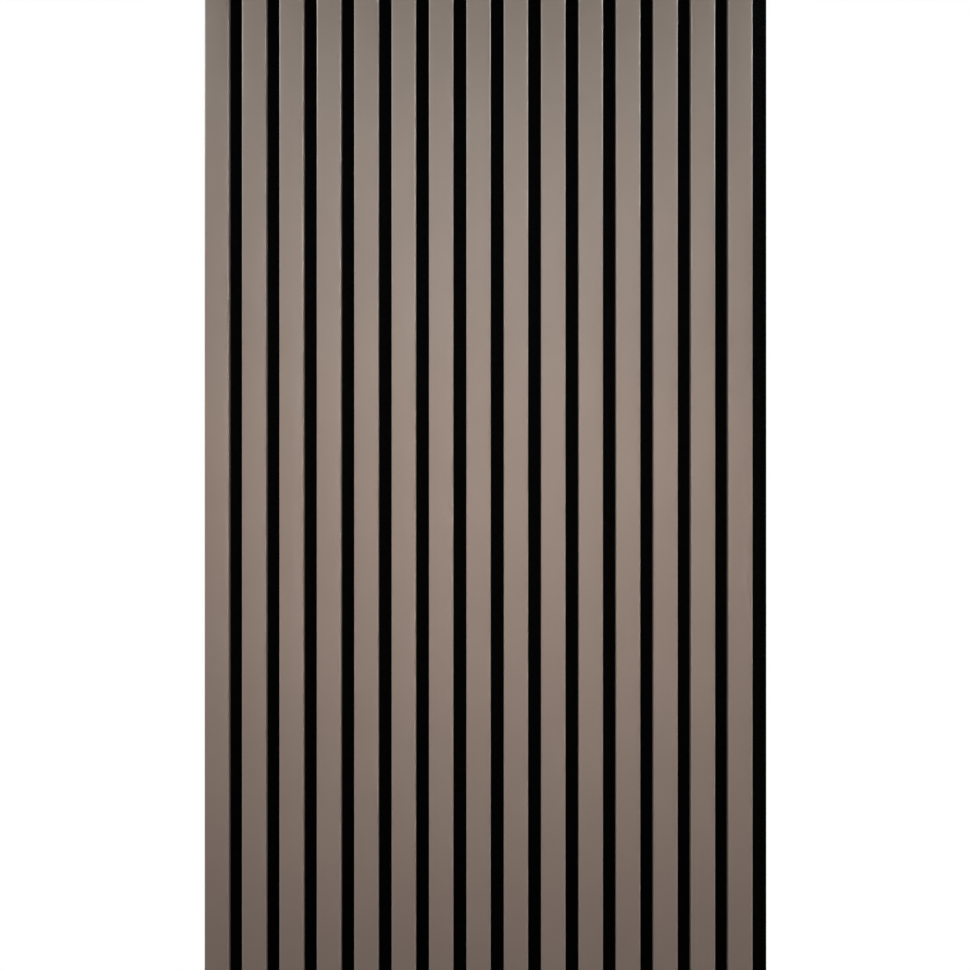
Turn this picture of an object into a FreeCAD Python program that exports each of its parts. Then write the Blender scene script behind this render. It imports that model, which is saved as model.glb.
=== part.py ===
import FreeCAD, Part
import os
import Sketcher

# Acoustic slat wall panel: foil-wrapped MDF slats side by side on a sheet of black polyester felt.
# The slats repeat every 40 mm, and at the right edge the felt stands past the last slat, where the next
# panel joins.
# The slats run along Z and face -Y. The back of the felt, which lies on the wall, is the plane y = 0,
# and the origin is the middle of that face.
# Each slat is held by a row of fine wire staples, driven through the felt from behind.

# Driving dimensions, in millimetres, apart from the two counts
DIMENSIONS = {
    "panel_length": 2400,     # length of the slats and of the felt
    "slat_count": 15,
    "slat_width": 26,
    "slat_thickness": 12,
    "slat_gap": 14,           # groove between two slats
    "arris_radius": 1.5,      # where the foil is folded round the two front edges
    "edge_strip": 17,         # bare strip of felt past the last slat, a little wider than a groove
    "felt_thickness": 9,
    "crown_width": 12.8,      # staple, across the outside of its legs
    "leg_length": 16,         # staple, from the back of its crown to its points
    "wire_thickness": 0.65,   # flat staple wire, measured across the bend
    "wire_width": 0.95,       # flat staple wire, measured along the slat
    "bend_bevel": 0.35,       # outside of the staple's two bends, which are too small to draw as arcs
    "point_length": 0.9,      # chisel point of a leg
    "set_in": 0.3,            # how far the crown is driven in below the back of the felt
    "leg_clearance": 0.03,    # between the wire and the felt or MDF, on each side
    "point_clearance": 0.2,   # from a point to the bottom of its hole
    "staple_rows": 6,
    "row_margin": 60,         # from the ends of the panel to the first and last row of staples
}

# Dimensions worked out from the driving ones, as the sheet's expressions
PITCH = "(dims.slat_width + dims.slat_gap)"
SLATS_SPAN = f"((dims.slat_count - 1) * {PITCH})"
FELT_WIDTH = f"({SLATS_SPAN} + dims.slat_width + dims.edge_strip)"
FIRST_SLAT = f"((dims.slat_width - {FELT_WIDTH}) / 2)"
FIRST_ROW = "(dims.row_margin - dims.panel_length / 2)"
ROWS_SPAN = "(dims.panel_length - 2 * dims.row_margin)"
POINT_DEPTH = "(dims.set_in + dims.leg_length)"
LEG_CENTRE = "((dims.crown_width - dims.wire_thickness) / 2)"
SLOT_WIDTH = "(dims.wire_width + 2 * dims.leg_clearance)"

SAME_PLACE = 1e-6  # mm, for finding edges by where they lie

doc = FreeCAD.newDocument("acoustic_slat_panel")
dims = doc.addObject("Spreadsheet::Sheet", "dims")
for row, (alias, value) in enumerate(DIMENSIONS.items(), start=1):
    dims.set(f"A{row}", alias)
    dims.set(f"B{row}", str(value))
    dims.setAlias(f"B{row}", alias)
doc.recompute()


def new_body(label):
    """An empty body that may hold separate solids."""
    body = doc.addObject("PartDesign::Body", label)
    body.Label = label
    body.AllowCompound = True
    return body


def place(body, x="0", y="0", z="0"):
    """Set where a body's own origin lies in the panel."""
    for axis, expression in zip("xyz", (x, y, z)):
        body.setExpression(f".Placement.Base.{axis}", f"{expression} * 1 mm")


def new_sketch(body, name, plane, across="0", lift="0"):
    """A sketch on one of the body's origin planes, moved along X and along the plane's normal."""
    sketch = body.newObject("Sketcher::SketchObject", name)
    support = next(item for item in body.Origin.OriginFeatures if item.Role == plane)
    sketch.AttachmentSupport = [(support, "")]
    sketch.MapMode = "FlatFace"
    sketch.setExpression(".AttachmentOffset.Base.x", f"{across} * 1 mm")
    sketch.setExpression(".AttachmentOffset.Base.z", f"{lift} * 1 mm")
    return sketch


def draw_outline(sketch, corners):
    """A closed outline of straight lines. Its corners are pairs of expressions, measured from the origin."""
    origin, start, end = -1, 1, 2  # a sketch's own numbers for its origin and for the ends of a line
    points = [FreeCAD.Vector(sketch.evalExpression(x), sketch.evalExpression(y)) for x, y in corners]
    sides = zip(points, points[1:] + points[:1])
    lines = sketch.addGeometry([Part.LineSegment(here, there) for here, there in sides])
    for line, following in zip(lines, lines[1:] + lines[:1]):
        sketch.addConstraint(Sketcher.Constraint("Coincident", line, end, following, start))
    for line, point, (x, y) in zip(lines, points, corners):
        for kind, value, expression in (("DistanceX", point.x, x), ("DistanceY", point.y, y)):
            distance = Sketcher.Constraint(kind, origin, start, line, start, value)
            index = sketch.addConstraint(distance)
            sketch.setExpression(f".Constraints[{index}]", expression)


def draw_mirrored(sketch, right_half):
    """An outline that is the same on both sides of the sketch's upright axis."""
    left_half = [(f"-{x}", y) for x, y in reversed(right_half)]
    draw_outline(sketch, left_half + right_half)


def draw_rectangle(sketch, x, y, width, height):
    """A rectangle, given by its middle and its two sides."""
    left, right = f"{x} - {width} / 2", f"{x} + {width} / 2"
    low, high = f"{y} - {height} / 2", f"{y} + {height} / 2"
    draw_outline(sketch, [(left, low), (right, low), (right, high), (left, high)])


def pad(body, sketch, name, length):
    """Extrude a sketch by half of a length to each side of its plane."""
    feature = body.newObject("PartDesign::Pad", name)
    feature.Profile = sketch
    feature.SideType = "Symmetric"
    feature.setExpression("Length", f"{length} * 1 mm")
    return feature


def pattern_rows(body, sketch, along):
    """Repeat what is patterned for every row of staples, along one axis of a sketch."""
    rows = body.newObject("PartDesign::LinearPattern", "EveryRow")
    rows.Direction = (sketch, [along])
    rows.setExpression("Length", f"{ROWS_SPAN} * 1 mm")
    rows.setExpression("Occurrences", "dims.staple_rows")
    body.Tip = rows
    return rows


def pattern_staples(body, sketch):
    """The same, for every slat too."""
    grid = pattern_rows(body, sketch, "N_Axis")
    grid.Direction2 = (sketch, ["H_Axis"])
    grid.setExpression("Length2", f"{SLATS_SPAN} * 1 mm")
    grid.setExpression("Occurrences2", "dims.slat_count")
    return grid


def edges_along_length(shape, wanted):
    """The names of a shape's edges that run along Z, where wanted(x, y) is true."""
    return [
        f"Edge{index}"
        for index, edge in enumerate(shape.Edges, start=1)
        if abs(edge.tangentAt(edge.FirstParameter).z) > 0.5
        and wanted(edge.Vertexes[0].X, edge.Vertexes[0].Y)
    ]


def ease_edges(body, base, kind, name, edges, size):
    """Round or bevel some edges of the feature before: kind is a Fillet or a Chamfer."""
    eased = body.newObject(f"PartDesign::{kind}", name)
    eased.Base = (base, edges)
    eased.setExpression({"Fillet": "Radius", "Chamfer": "Size"}[kind], f"{size} * 1 mm")
    doc.recompute()


def make_slat(number):
    """One slat, about its own centre line, with the holes that its staples have cut from behind."""
    body = new_body(f"slat_{number:02d}")
    place(body, x=f"({FIRST_SLAT} + {number - 1} * {PITCH})", y="(-dims.felt_thickness)")

    section = new_sketch(body, "Section", "XY_Plane")
    draw_rectangle(section, "0", "-dims.slat_thickness / 2", "dims.slat_width", "dims.slat_thickness")
    strip = pad(body, section, "Strip", "dims.panel_length")
    doc.recompute()

    front = -dims.slat_thickness
    arrises = edges_along_length(strip.Shape, lambda x, y: abs(y - front) < SAME_PLACE)
    ease_edges(body, strip, "Fillet", "Arrises", arrises, "dims.arris_radius")

    holes = new_sketch(body, "LegHoles", "XZ_Plane")
    for side in ("-", ""):
        draw_rectangle(holes, f"{side}{LEG_CENTRE}", FIRST_ROW,
                       "(dims.wire_thickness + 2 * dims.leg_clearance)", SLOT_WIDTH)
    drive = body.newObject("PartDesign::Pocket", "Drive")
    drive.Profile = holes
    drive.Reversed = True
    drive.setExpression("Length", f"({POINT_DEPTH} + dims.point_clearance - dims.felt_thickness) * 1 mm")
    doc.recompute()

    pattern_rows(body, holes, "V_Axis").Originals = [drive]
    return body


def make_felt():
    """The backing sheet, with a slot under each crown that goes right through at the two legs."""
    body = new_body("felt_backing")
    section = new_sketch(body, "Section", "XY_Plane")
    draw_rectangle(section, "0", "-dims.felt_thickness / 2", FELT_WIDTH, "dims.felt_thickness")
    pad(body, section, "Sheet", "dims.panel_length")

    slot = new_sketch(body, "StapleSlot", "XY_Plane", across=FIRST_SLAT, lift=FIRST_ROW)
    outside = "(dims.crown_width / 2 + dims.leg_clearance)"
    inside = "(dims.crown_width / 2 - dims.wire_thickness - dims.leg_clearance)"
    floor, front = "-(dims.set_in + dims.wire_thickness)", "-dims.felt_thickness"
    draw_mirrored(slot, [(inside, floor), (inside, front), (outside, front), (outside, "0")])
    drive = body.newObject("PartDesign::Pocket", "Drive")
    drive.Profile = slot
    drive.SideType = "Symmetric"
    drive.setExpression("Length", f"{SLOT_WIDTH} * 1 mm")
    doc.recompute()

    pattern_staples(body, slot).Originals = [drive]
    return body


def make_staples():
    """All staples: flat wire bent twice, with chisel points, its crown lying across the slat."""
    body = new_body("staples")
    place(body, x=FIRST_SLAT, y="(-dims.set_in)", z=FIRST_ROW)

    outline = new_sketch(body, "Staple", "XY_Plane")
    outside, inside = "dims.crown_width / 2", "(dims.crown_width / 2 - dims.wire_thickness)"
    shoulder, point = "-(dims.leg_length - dims.point_length)", "-dims.leg_length"
    draw_mirrored(outline, [
        (inside, "-dims.wire_thickness"),
        (inside, shoulder),
        (LEG_CENTRE, point),
        (outside, shoulder),
        (outside, "0"),
    ])
    wire = pad(body, outline, "Wire", "dims.wire_width")
    doc.recompute()

    corner = dims.crown_width / 2
    bends = edges_along_length(
        wire.Shape, lambda x, y: abs(y) < SAME_PLACE and abs(abs(x) - corner) < SAME_PLACE)
    ease_edges(body, wire, "Chamfer", "Bends", bends, "dims.bend_bevel")

    pattern_staples(body, outline).TransformMode = "Whole shape"
    return body


pieces = [make_slat(number) for number in range(1, int(dims.slat_count) + 1)]
pieces.append(make_felt())
pieces.append(make_staples())
doc.recompute()

# Stop on any failed feature or bad solid before a file is written
for item in doc.Objects:
    if {"Invalid", "Error"} & set(item.State):
        raise RuntimeError(f"{item.Label} did not compute: {item.State}")
for body in pieces:
    if body.Shape.isNull() or not body.Shape.isValid():
        raise RuntimeError(f"{body.Label} is not a valid shape")

os.makedirs("parts", exist_ok=True)
for body in pieces:
    body.Shape.exportStep(os.path.join("parts", f"{body.Label}.step"))
    box = body.Shape.BoundBox
    print(f"{body.Label}: {len(body.Shape.Solids)} solids, {body.Shape.Volume:.1f} mm3,",
          f"x {box.XMin:.2f} to {box.XMax:.2f}, y {box.YMin:.2f} to {box.YMax:.2f}")
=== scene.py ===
import math

import bpy
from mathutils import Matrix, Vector


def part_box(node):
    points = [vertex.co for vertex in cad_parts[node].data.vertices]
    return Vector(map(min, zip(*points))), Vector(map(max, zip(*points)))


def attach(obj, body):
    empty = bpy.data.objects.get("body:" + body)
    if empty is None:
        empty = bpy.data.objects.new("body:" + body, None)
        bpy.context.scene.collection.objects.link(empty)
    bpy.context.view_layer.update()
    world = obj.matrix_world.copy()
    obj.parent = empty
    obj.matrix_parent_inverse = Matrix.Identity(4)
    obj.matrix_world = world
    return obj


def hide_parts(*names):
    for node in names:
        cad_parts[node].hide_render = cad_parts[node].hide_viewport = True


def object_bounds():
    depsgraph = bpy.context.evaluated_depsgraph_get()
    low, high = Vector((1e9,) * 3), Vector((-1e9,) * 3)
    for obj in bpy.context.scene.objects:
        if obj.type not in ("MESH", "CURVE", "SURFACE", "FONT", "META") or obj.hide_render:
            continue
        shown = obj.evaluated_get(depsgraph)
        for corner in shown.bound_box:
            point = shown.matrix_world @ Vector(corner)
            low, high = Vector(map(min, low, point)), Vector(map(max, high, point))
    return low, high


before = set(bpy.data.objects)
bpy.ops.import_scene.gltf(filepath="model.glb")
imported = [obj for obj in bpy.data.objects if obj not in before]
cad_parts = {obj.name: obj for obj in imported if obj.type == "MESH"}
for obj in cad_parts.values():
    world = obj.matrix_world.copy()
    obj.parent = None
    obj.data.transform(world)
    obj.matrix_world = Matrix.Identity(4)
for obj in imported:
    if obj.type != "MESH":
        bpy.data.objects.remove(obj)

# Acoustic slat wall panel: foil-wrapped fibreboard slats on a sheet of black needled felt.
# The slats run along Z and face -Y, and the back of the felt is the plane y = 0.
# Lengths are in metres.

MM = 0.001
cad_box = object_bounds()
ROOT = "root"
SLATS = sorted(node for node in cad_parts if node.startswith("slat_"))
SAME_PLACE = 0.01 * MM      # points closer than this along an axis lie in one plane
FACING = 0.9                # a face looks along an axis when its normal has more than this along it

# The photograph: a straight front view, whose frame is square
PHOTO_PIXELS = 970
PITCH_PIXELS = 37.43        # from one slat to the next, the even pitch that fits all their edges best
LEFT_EDGE_PIXEL = 204.4     # where that pitch puts the left edge of the first slat
CAMERA_DISTANCE = 1.5       # from the front of the slats, so that the outer ones show a little of their sides
SENSOR = 36.0               # in millimetres, as the focal length is

# Slat
ARRIS_RADIUS = 1.5 * MM
ARRIS_SEGMENTS = 6
FOIL_EDGE = 0.4 * MM        # the foil and its glue line, seen on the sawn ends
FOIL_PROUD = 0.08 * MM      # the saw leaves the foil this far above the fibreboard

# Staples
STAPLE_ROWS = 6
WIRE_WIDTH = 0.95 * MM      # flat wire, measured along the slat

# Felt
FELT_EDGE_RADIUS = 0.8 * MM
FELT_EDGE_SEGMENTS = 3
FELT_FACE = -8 * MM         # the darker face of the felt, painted shade for the grooves, reaches in to here
FELT_BACK = -4 * MM         # and from here on it is as hairy as its back
DENT = (18 * MM, 6 * MM)    # hollow that a staple pulls into the back of the felt, across and along the slat
DENT_STEPS = ((1.2 * MM, 0.15 * MM), (1.0 * MM, 0.6 * MM))   # inset and depth of its two slopes

# Grain of the patterns, as the size of one patch, streak or tangle
FOIL_CLOUD = 110 * MM       # slow drift in the printed tone
FOIL_GRAIN = 0.4 * MM       # matt grain of the press plate
BOARD_FIBRE = 1.1 * MM      # bundles of pressed fibre, drawn about three times too coarse, to show
FELT_TANGLE = 2.4 * MM      # tufts of fibre, since the single fibres are far too fine to show
NEEDLE_PITCH = 3.0 * MM     # needle punches, drawn about twice too coarse, to show
WEB_STREAK = (17 * MM, 17 * MM, 170 * MM)     # streaks in the web, long along the panel
WIRE_LINE = (5 * MM, 5 * MM, 0.11 * MM)       # drawing lines, thin across the width of the wire

# Stage
FLOOR_RADIUS = 30
FLOOR_WHITENS = (0.4, 1.6)      # distances from the panel's foot between which the floor turns white
FLOOR_FIRST_WHITE = 0.45        # share of white that it has at the panel's foot
ROOM_LIGHT = 0.16               # strength of the even light from all round, where 1 is white


# Small tools

def linear(hex_colour):
    """An sRGB hex colour as the linear values that a shader reads."""
    channels = [int(hex_colour[place:place + 2], 16) / 255 for place in (1, 3, 5)]
    return tuple(c / 12.92 if c <= 0.04045 else ((c + 0.055) / 1.055) ** 2.4 for c in channels) + (1.0,)


def add_node(tree, kind, settings=None, **links):
    """Add a node, set its properties and inputs, and link other nodes' outputs to its inputs.
    A link is named for its input, with _ for a space, or by _ and the input's number."""
    node = tree.nodes.new(kind)
    for name, value in (settings or {}).items():
        if isinstance(name, str) and hasattr(node, name):
            setattr(node, name, value)
        else:
            node.inputs[name].default_value = value
    for name, output in links.items():
        key = int(name[1:]) if name[0] == "_" else name.replace("_", " ")
        tree.links.new(output, node.inputs[key])
    return node


def new_material(name):
    """A node material that holds only its output node."""
    material = bpy.data.materials.new(name)
    material.use_nodes = True
    material.node_tree.nodes.clear()
    output = material.node_tree.nodes.new("ShaderNodeOutputMaterial")
    return material, material.node_tree, output


def deselect_all():
    """Leave edit mode and select nothing, so that an operator acts only on what is picked next."""
    if bpy.context.object and bpy.context.object.mode != "OBJECT":
        bpy.ops.object.mode_set(mode="OBJECT")
    bpy.ops.object.select_all(action="DESELECT")


def pick(piece):
    """Select one piece and nothing else."""
    deselect_all()
    piece.select_set(True)
    bpy.context.view_layer.objects.active = piece


def block(name, low, high):
    """A box between two corners, with its place in its mesh and its object at the origin."""
    deselect_all()
    bpy.ops.mesh.primitive_cube_add(size=1, location=(low + high) / 2)
    piece = bpy.context.object
    piece.name = piece.data.name = name
    piece.scale = high - low
    bpy.ops.object.transform_apply(location=True, rotation=True, scale=True)
    return piece


def select_edges(piece, wanted):
    """In edit mode, select only the edges whose two ends meet a test."""
    bpy.ops.object.mode_set(mode="EDIT")
    bpy.ops.mesh.select_mode(type="EDGE")
    bpy.ops.mesh.select_all(action="DESELECT")
    bpy.ops.object.mode_set(mode="OBJECT")
    points = piece.data.vertices
    for edge in piece.data.edges:
        edge.select = wanted(*(points[index].co for index in edge.vertices))
    bpy.ops.object.mode_set(mode="EDIT")


def select_faces(piece, wanted):
    """In edit mode, select only the faces whose middle and normal meet a test."""
    bpy.ops.object.mode_set(mode="EDIT")
    bpy.ops.mesh.select_mode(type="FACE")
    bpy.ops.mesh.select_all(action="DESELECT")
    bpy.ops.object.mode_set(mode="OBJECT")
    for face in piece.data.polygons:
        face.select = wanted(face.center, face.normal)
    bpy.ops.object.mode_set(mode="EDIT")


def finish_mesh(piece, angle=40):
    """Leave edit mode, and shade smooth across all but the sharp edges."""
    pick(piece)
    bpy.ops.object.shade_smooth_by_angle(angle=math.radians(angle))


# Materials

def taupe_foil():
    """Melamine foil, printed plain and laminated on fibreboard: an even taupe with a soft, low sheen,
    a fine matt grain, and a lighter line on the arris: a painted highlight along the rounded edge, partly
    foil stretched paler there."""
    material, tree, output = new_material("taupe_foil")
    place = add_node(tree, "ShaderNodeTexCoord").outputs["Object"]
    cloud = add_node(tree, "ShaderNodeTexNoise", {"Scale": 1 / FOIL_CLOUD, "Detail": 3.0}, Vector=place)
    grain = add_node(tree, "ShaderNodeTexNoise", {"Scale": 1 / FOIL_GRAIN, "Detail": 2.0}, Vector=place)
    tone = add_node(tree, "ShaderNodeMapRange", {"From Min": 0.3, "From Max": 0.7},
                    Value=cloud.outputs["Fac"])
    colour = add_node(tree, "ShaderNodeMix",
                      {"data_type": "RGBA", 6: linear("#938177"), 7: linear("#97857B")},
                      _0=tone.outputs["Result"])

    # On the arris the normal points partly along X and partly along Y, and only there
    normal = add_node(tree, "ShaderNodeNewGeometry").outputs["Normal"]
    turned = add_node(tree, "ShaderNodeSeparateXYZ", Vector=normal)
    across = add_node(tree, "ShaderNodeMath", {"operation": "MULTIPLY"},
                      _0=turned.outputs["X"], _1=turned.outputs["Y"])
    bent = add_node(tree, "ShaderNodeMath", {"operation": "ABSOLUTE"}, _0=across.outputs[0])
    arris = add_node(tree, "ShaderNodeMapRange", {"From Min": 0.05, "From Max": 0.45, "To Max": 0.7},
                     Value=bent.outputs[0])
    # Painted highlight: the arris gets a lighter colour that stands in for light caught on the rounded edge,
    # and partly for foil stretched paler there
    pale_arris_and_highlight = add_node(tree, "ShaderNodeMix", {"data_type": "RGBA", 7: linear("#A99B92")},
                    _0=arris.outputs["Result"], _6=colour.outputs[2])

    roughness = add_node(tree, "ShaderNodeMapRange", {"To Min": 0.46, "To Max": 0.56},
                         Value=grain.outputs["Fac"])
    bump = add_node(tree, "ShaderNodeBump", {"Strength": 0.12, "Distance": 0.05 * MM},
                    Height=grain.outputs["Fac"])
    shader = add_node(tree, "ShaderNodeBsdfPrincipled", {"IOR": 1.5, "Specular IOR Level": 0.25},
                      Base_Color=pale_arris_and_highlight.outputs[2], Roughness=roughness.outputs["Result"],
                      Normal=bump.outputs["Normal"])
    tree.links.new(shader.outputs["BSDF"], output.inputs["Surface"])
    return material


def raw_fibreboard():
    """Medium-density fibreboard, sawn: matt tan, with short pressed fibres."""
    material, tree, output = new_material("raw_fibreboard")
    place = add_node(tree, "ShaderNodeTexCoord").outputs["Object"]
    fibre = add_node(tree, "ShaderNodeTexNoise", {"Scale": 1 / BOARD_FIBRE, "Detail": 4.0, "Roughness": 0.65},
                     Vector=place)
    colour = add_node(tree, "ShaderNodeMix",
                      {"data_type": "RGBA", 6: linear("#A98A68"), 7: linear("#C9AE8B")},
                      _0=fibre.outputs["Fac"])
    bump = add_node(tree, "ShaderNodeBump", {"Strength": 0.5, "Distance": 0.15 * MM},
                    Height=fibre.outputs["Fac"])
    shader = add_node(tree, "ShaderNodeBsdfPrincipled", {"Roughness": 0.9, "Specular IOR Level": 0.2},
                      Base_Color=colour.outputs[2], Normal=bump.outputs["Normal"])
    tree.links.new(shader.outputs["BSDF"], output.inputs["Surface"])
    return material


def needled_felt():
    """Polyester felt, dyed black in the fibre. Its face is coloured darker than its back: painted shade, for
    the grooves between the slats. Its back and
    cut edges are hairier: tangled fibres and faint streaks along the web show there, a little greyer."""
    material, tree, output = new_material("needled_felt")
    place = add_node(tree, "ShaderNodeTexCoord").outputs["Object"]
    tangle = add_node(tree, "ShaderNodeTexNoise",
                      {"Scale": 1 / FELT_TANGLE, "Detail": 5.0, "Roughness": 0.7, "Distortion": 1.5},
                      Vector=place)
    web = add_node(tree, "ShaderNodeMapping", {"Scale": [1 / size for size in WEB_STREAK]}, Vector=place)
    streaks = add_node(tree, "ShaderNodeTexNoise", {"Scale": 1.0, "Detail": 4.0}, Vector=web.outputs[0])
    needles = add_node(tree, "ShaderNodeTexVoronoi", {"Scale": 1 / NEEDLE_PITCH}, Vector=place)
    pale = add_node(tree, "ShaderNodeMapRange", {"From Min": 0.45, "From Max": 0.8},
                    Value=tangle.outputs["Fac"])
    uneven = add_node(tree, "ShaderNodeMapRange", {"From Min": 0.35, "From Max": 0.65},
                      Value=streaks.outputs["Fac"])

    # Painted shade: the face of the felt, which lies in the grooves between the slats, gets darker colours
    # than its back
    face = add_node(tree, "ShaderNodeMix", {"data_type": "RGBA", 6: linear("#050505"), 7: linear("#121212")},
                    _0=pale.outputs["Result"])
    ground = add_node(tree, "ShaderNodeMix",
                      {"data_type": "RGBA", 6: linear("#171718"), 7: linear("#1E1E20")},
                      _0=uneven.outputs["Result"])
    hairy = add_node(tree, "ShaderNodeMix", {"data_type": "RGBA", 7: linear("#3A3A3D")},
                     _0=pale.outputs["Result"], _6=ground.outputs[2])
    # Through the felt's depth, blend from the painted-shade face to the greyer back
    depth = add_node(tree, "ShaderNodeSeparateXYZ", Vector=place)
    behind = add_node(tree, "ShaderNodeMapRange", {"From Min": FELT_FACE, "From Max": FELT_BACK},
                      Value=depth.outputs["Y"])
    colour = add_node(tree, "ShaderNodeMix", {"data_type": "RGBA"},
                      _0=behind.outputs["Result"], _6=face.outputs[2], _7=hairy.outputs[2])

    height = add_node(tree, "ShaderNodeMath", {"operation": "ADD"},
                      _0=tangle.outputs["Fac"], _1=needles.outputs["Distance"])
    bump = add_node(tree, "ShaderNodeBump", {"Strength": 0.8, "Distance": 0.6 * MM}, Height=height.outputs[0])
    shader = add_node(tree, "ShaderNodeBsdfPrincipled",
                      {"Roughness": 1.0, "Specular IOR Level": 0.0,
                       "Sheen Weight": 0.1, "Sheen Roughness": 0.35},
                      Base_Color=colour.outputs[2], Normal=bump.outputs["Normal"])
    tree.links.new(shader.outputs["BSDF"], output.inputs["Surface"])
    return material


def zinc_wire():
    """Drawn steel wire with a bright zinc coat: a cool grey metal with fine lines along the wire."""
    material, tree, output = new_material("zinc_wire")
    place = add_node(tree, "ShaderNodeTexCoord").outputs["Object"]
    lines = add_node(tree, "ShaderNodeMapping", {"Scale": [1 / size for size in WIRE_LINE]}, Vector=place)
    drawn = add_node(tree, "ShaderNodeTexNoise", {"Scale": 1.0, "Detail": 2.0}, Vector=lines.outputs[0])
    roughness = add_node(tree, "ShaderNodeMapRange", {"To Min": 0.25, "To Max": 0.45},
                         Value=drawn.outputs["Fac"])
    shader = add_node(tree, "ShaderNodeBsdfPrincipled", {"Base Color": linear("#C3C6C9"), "Metallic": 1.0},
                      Roughness=roughness.outputs["Result"])
    tree.links.new(shader.outputs["BSDF"], output.inputs["Surface"])
    return material


# Pieces

def model_slat(name, low, high, foil, core):
    """A slat with rounded arrises. Its sawn ends show the fibreboard inside a thin line of foil."""
    slat = block(name, low, high)
    slat.data.materials.append(foil)
    slat.data.materials.append(core)

    def on_front(point):
        return abs(point.y - low.y) < SAME_PLACE

    select_edges(slat, lambda a, b: on_front(a) and on_front(b) and abs(a.x - b.x) < SAME_PLACE)
    bpy.ops.mesh.bevel(offset=ARRIS_RADIUS, segments=ARRIS_SEGMENTS, profile=0.5, affect="EDGES")

    select_faces(slat, lambda middle, normal: abs(normal.z) > FACING)
    bpy.ops.mesh.inset(thickness=FOIL_EDGE, depth=-FOIL_PROUD)
    slat.active_material_index = 1
    bpy.ops.object.material_slot_assign()

    # The foil doesn't cover the back: the back face and the strip behind each end are bare too
    select_faces(slat, lambda middle, normal: middle.y > high.y - FOIL_EDGE)
    bpy.ops.object.material_slot_assign()
    finish_mesh(slat)
    return slat


def copy_to(pattern, name, offset):
    """A copy of a piece with its own mesh, moved by an offset that ends up in the mesh."""
    pick(pattern)
    bpy.ops.object.duplicate(linked=False)
    piece = bpy.context.object
    piece.name = piece.data.name = name
    bpy.ops.transform.translate(value=offset)
    bpy.ops.object.transform_apply(location=True, rotation=True, scale=True)
    return piece


def make_slats(foil, core):
    """Model the first slat and set a copy of it in the place of each of the others."""
    first = SLATS[0]
    low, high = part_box(first)
    slats = {first: model_slat("foil_" + first, low, high, foil, core)}
    for node in SLATS[1:]:
        slats[node] = copy_to(slats[first], "foil_" + node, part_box(node)[0] - low)
    for node, slat in slats.items():
        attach(slat, ROOT)
        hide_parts(node)


def staple_places():
    """Where the staples' crowns lie: the middle of each slat, and evenly spaced rows along the panel."""
    xs = [(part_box(node)[0].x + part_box(node)[1].x) / 2 for node in SLATS]
    low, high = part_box("staples")
    first, last = low.z + WIRE_WIDTH / 2, high.z - WIRE_WIDTH / 2
    zs = [first + (last - first) * row / (STAPLE_ROWS - 1) for row in range(STAPLE_ROWS)]
    return xs, zs


def soften_edges(felt, low, high):
    """Round off the edges of the sheet, as the blade leaves them."""

    def on_edge(point):
        """An edge lies in two sides of the box."""
        sides = [min(abs(point[axis] - low[axis]), abs(point[axis] - high[axis])) < SAME_PLACE
                 for axis in range(3)]
        return sum(sides) >= 2

    select_edges(felt, lambda a, b: on_edge(a) and on_edge(b))
    bpy.ops.mesh.bevel(offset=FELT_EDGE_RADIUS, segments=FELT_EDGE_SEGMENTS, profile=0.5, affect="EDGES")


def sink_dents(felt):
    """Cut the sheet beside each column and row of staples, and press the back in where they cross."""
    xs, zs = staple_places()
    for axis, middles, size in ((Vector((1, 0, 0)), xs, DENT[0]), (Vector((0, 0, 1)), zs, DENT[1])):
        for middle in middles:
            for side in (-0.5, 0.5):
                bpy.ops.mesh.select_all(action="SELECT")
                bpy.ops.mesh.bisect(plane_co=axis * (middle + side * size), plane_no=axis)

    def dented(middle, normal):
        """A dent is the face of the back whose middle is a staple's."""
        return (normal.y > FACING
                and min(abs(middle.x - x) for x in xs) < SAME_PLACE
                and min(abs(middle.z - z) for z in zs) < SAME_PLACE)

    select_faces(felt, dented)
    for inset, depth in DENT_STEPS:
        bpy.ops.mesh.inset(thickness=inset, depth=-depth, use_individual=True)


def make_felt(cloth):
    """The backing sheet, with soft sawn edges and a shallow hollow round every staple at the back."""
    low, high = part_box("felt_backing")
    felt = block("felt_sheet", low, high)
    felt.data.materials.append(cloth)
    soften_edges(felt, low, high)
    sink_dents(felt)
    finish_mesh(felt, angle=60)
    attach(felt, ROOT)
    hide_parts("felt_backing")


def finish_staples(wire):
    """The staples keep their solids and get the finish of their wire."""
    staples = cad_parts["staples"]
    staples.data.materials.clear()
    staples.data.materials.append(wire)


# Stage

def seen_itself(tree):
    """1 where something is seen, by the camera, in a gloss or through glass, and 0 where it only lights."""
    path = add_node(tree, "ShaderNodeLightPath")
    mirrored = add_node(tree, "ShaderNodeMath", {"operation": "MAXIMUM"},
                        _0=path.outputs["Is Camera Ray"], _1=path.outputs["Is Glossy Ray"])
    seen = add_node(tree, "ShaderNodeMath", {"operation": "MAXIMUM"},
                    _0=mirrored.outputs[0], _1=path.outputs["Is Transmission Ray"])
    return seen.outputs[0]


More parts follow.
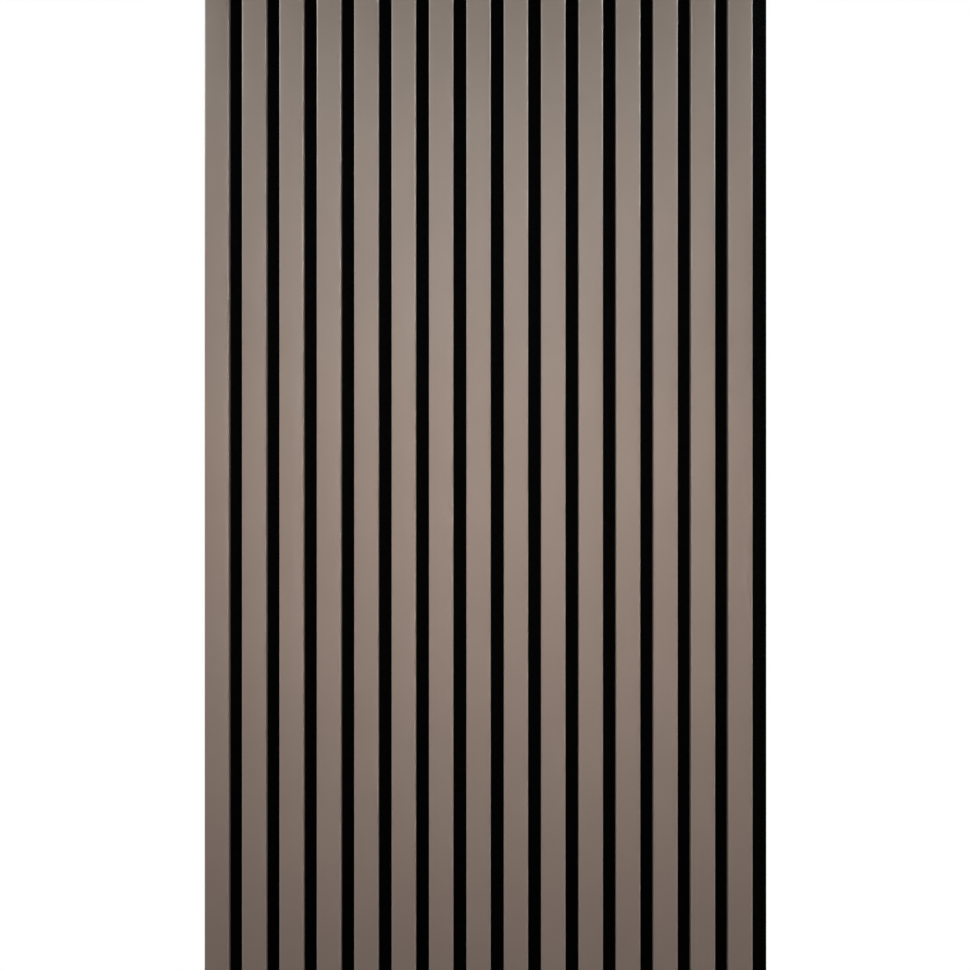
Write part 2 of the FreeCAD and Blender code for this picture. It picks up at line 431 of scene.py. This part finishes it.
def make_floor():
    """A plain pale floor under the lower end of the panel. It keeps the panel's shadow, and far out
    it turns into the white of the background."""
    low = cad_box[0]
    deselect_all()
    bpy.ops.mesh.primitive_circle_add(vertices=96, radius=FLOOR_RADIUS, fill_type="NGON",
                                      location=(0, 0, low[2]))
    floor = bpy.context.object
    floor.name = "floor"
    material, tree, output = new_material("pale_floor")
    place = add_node(tree, "ShaderNodeTexCoord").outputs["Object"]
    reach = add_node(tree, "ShaderNodeVectorMath", {"operation": "LENGTH"}, _0=place)
    near, far = FLOOR_WHITENS
    white_share = add_node(tree, "ShaderNodeMapRange",
                           {"interpolation_type": "SMOOTHSTEP", "From Min": near, "From Max": far,
                            "To Min": FLOOR_FIRST_WHITE},
                           Value=reach.outputs["Value"])
    share = add_node(tree, "ShaderNodeMath", {"operation": "MULTIPLY"},
                     _0=white_share.outputs["Result"], _1=seen_itself(tree))
    paint = add_node(tree, "ShaderNodeBsdfDiffuse", {"Color": linear("#ECEBE8")})
    white = add_node(tree, "ShaderNodeEmission", {"Strength": 1.0})
    mixed = add_node(tree, "ShaderNodeMixShader",
                     _0=share.outputs[0], _1=paint.outputs[0], _2=white.outputs[0])
    tree.links.new(mixed.outputs[0], output.inputs["Surface"])
    floor.data.materials.append(material)


def make_world():
    """White where the camera or a gloss sees it, and a plain even light everywhere else."""
    world = bpy.data.worlds.new("studio")
    bpy.context.scene.world = world
    world.use_nodes = True
    tree = world.node_tree
    tree.nodes.clear()
    light = add_node(tree, "ShaderNodeBackground", {"Color": (1, 1, 1, 1), "Strength": ROOM_LIGHT})
    white = add_node(tree, "ShaderNodeBackground", {"Color": (1, 1, 1, 1), "Strength": 1.0})
    mixed = add_node(tree, "ShaderNodeMixShader",
                     _0=seen_itself(tree), _1=light.outputs[0], _2=white.outputs[0])
    output = add_node(tree, "ShaderNodeOutputWorld")
    tree.links.new(mixed.outputs[0], output.inputs["Surface"])


def make_lamp(name, place, aim, size, power, spread=math.pi, colour=(1, 1, 1)):
    """A soft rectangular lamp that isn't seen itself. A grid in front of it can narrow its spread."""
    lamp = bpy.data.lights.new(name, "AREA")
    lamp.shape = "RECTANGLE"
    lamp.size, lamp.size_y = size
    lamp.energy = power
    lamp.spread = spread
    lamp.color = colour
    holder = bpy.data.objects.new(name, lamp)
    holder.location = place
    holder.rotation_euler = (Vector(aim) - Vector(place)).to_track_quat("-Z", "Y").to_euler()
    holder.visible_camera = False
    bpy.context.collection.objects.link(holder)


def make_lamps():
    """Soft studio lamps. As in the photograph, they make the panel brightest a little above its middle,
    and cooler in tint towards the top."""
    # Two lamps with grids, straight in front, make the pool of light on the faces
    make_lamp("front_softbox", place=(0, -4, 0.04), aim=(0, 0, 0.04), size=(0.7, 0.3), power=1.16,
              spread=math.radians(19.5), colour=(1, 0.94, 0.885))
    make_lamp("upper_softbox", place=(0, -4, 0.34), aim=(0, 0, 0.34), size=(0.7, 0.3), power=0.21,
              spread=math.radians(10.5), colour=(0.65, 0.91, 1))

    # At each side a tall strip lights the panel evenly, and a short one draws a light line on the arrises
    for name, side in (("left", -1), ("right", 1)):
        make_lamp(name + "_strip", place=(2 * side, -0.9, 0), aim=(0, 0, 0), size=(0.3, 2.0), power=8,
                  colour=(0.9, 0.97, 1))
        make_lamp(name + "_rim_strip", place=(0.9 * side, -0.07, 0.55), aim=(0, 0, 0.55), size=(0.06, 0.3),
                  power=0.55, spread=math.radians(50), colour=(0.75, 0.95, 1))

    # The last two light the top end, the floor and the back
    make_lamp("overhead_softbox", place=(0, 0, 3.4), aim=(0, 0, 0), size=(1.2, 1.2), power=25)
    make_lamp("back_softbox", place=(0.8, 2.6, 1.0), aim=(0, 0, 0), size=(2, 2), power=80)


def make_camera():
    """Straight at the panel, with the photograph's scale and framing at the front of the slats."""
    left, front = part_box(SLATS[0])[0].xy
    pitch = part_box(SLATS[1])[0].x - left
    metres_a_pixel = pitch / PITCH_PIXELS
    width = PHOTO_PIXELS * metres_a_pixel
    middle = left + (PHOTO_PIXELS / 2 - LEFT_EDGE_PIXEL) * metres_a_pixel
    camera = bpy.data.cameras.new("camera")
    camera.sensor_width = SENSOR
    camera.lens = SENSOR * CAMERA_DISTANCE / width
    holder = bpy.data.objects.new("camera", camera)
    holder.location = (middle, front - CAMERA_DISTANCE, 0)
    holder.rotation_euler = (math.pi / 2, 0, 0)
    bpy.context.collection.objects.link(holder)
    bpy.context.scene.camera = holder


make_camera()
make_slats(taupe_foil(), raw_fibreboard())
make_felt(needled_felt())
finish_staples(zinc_wire())
make_floor()
make_world()
make_lamps()
bpy.context.scene.view_settings.view_transform = "Standard"
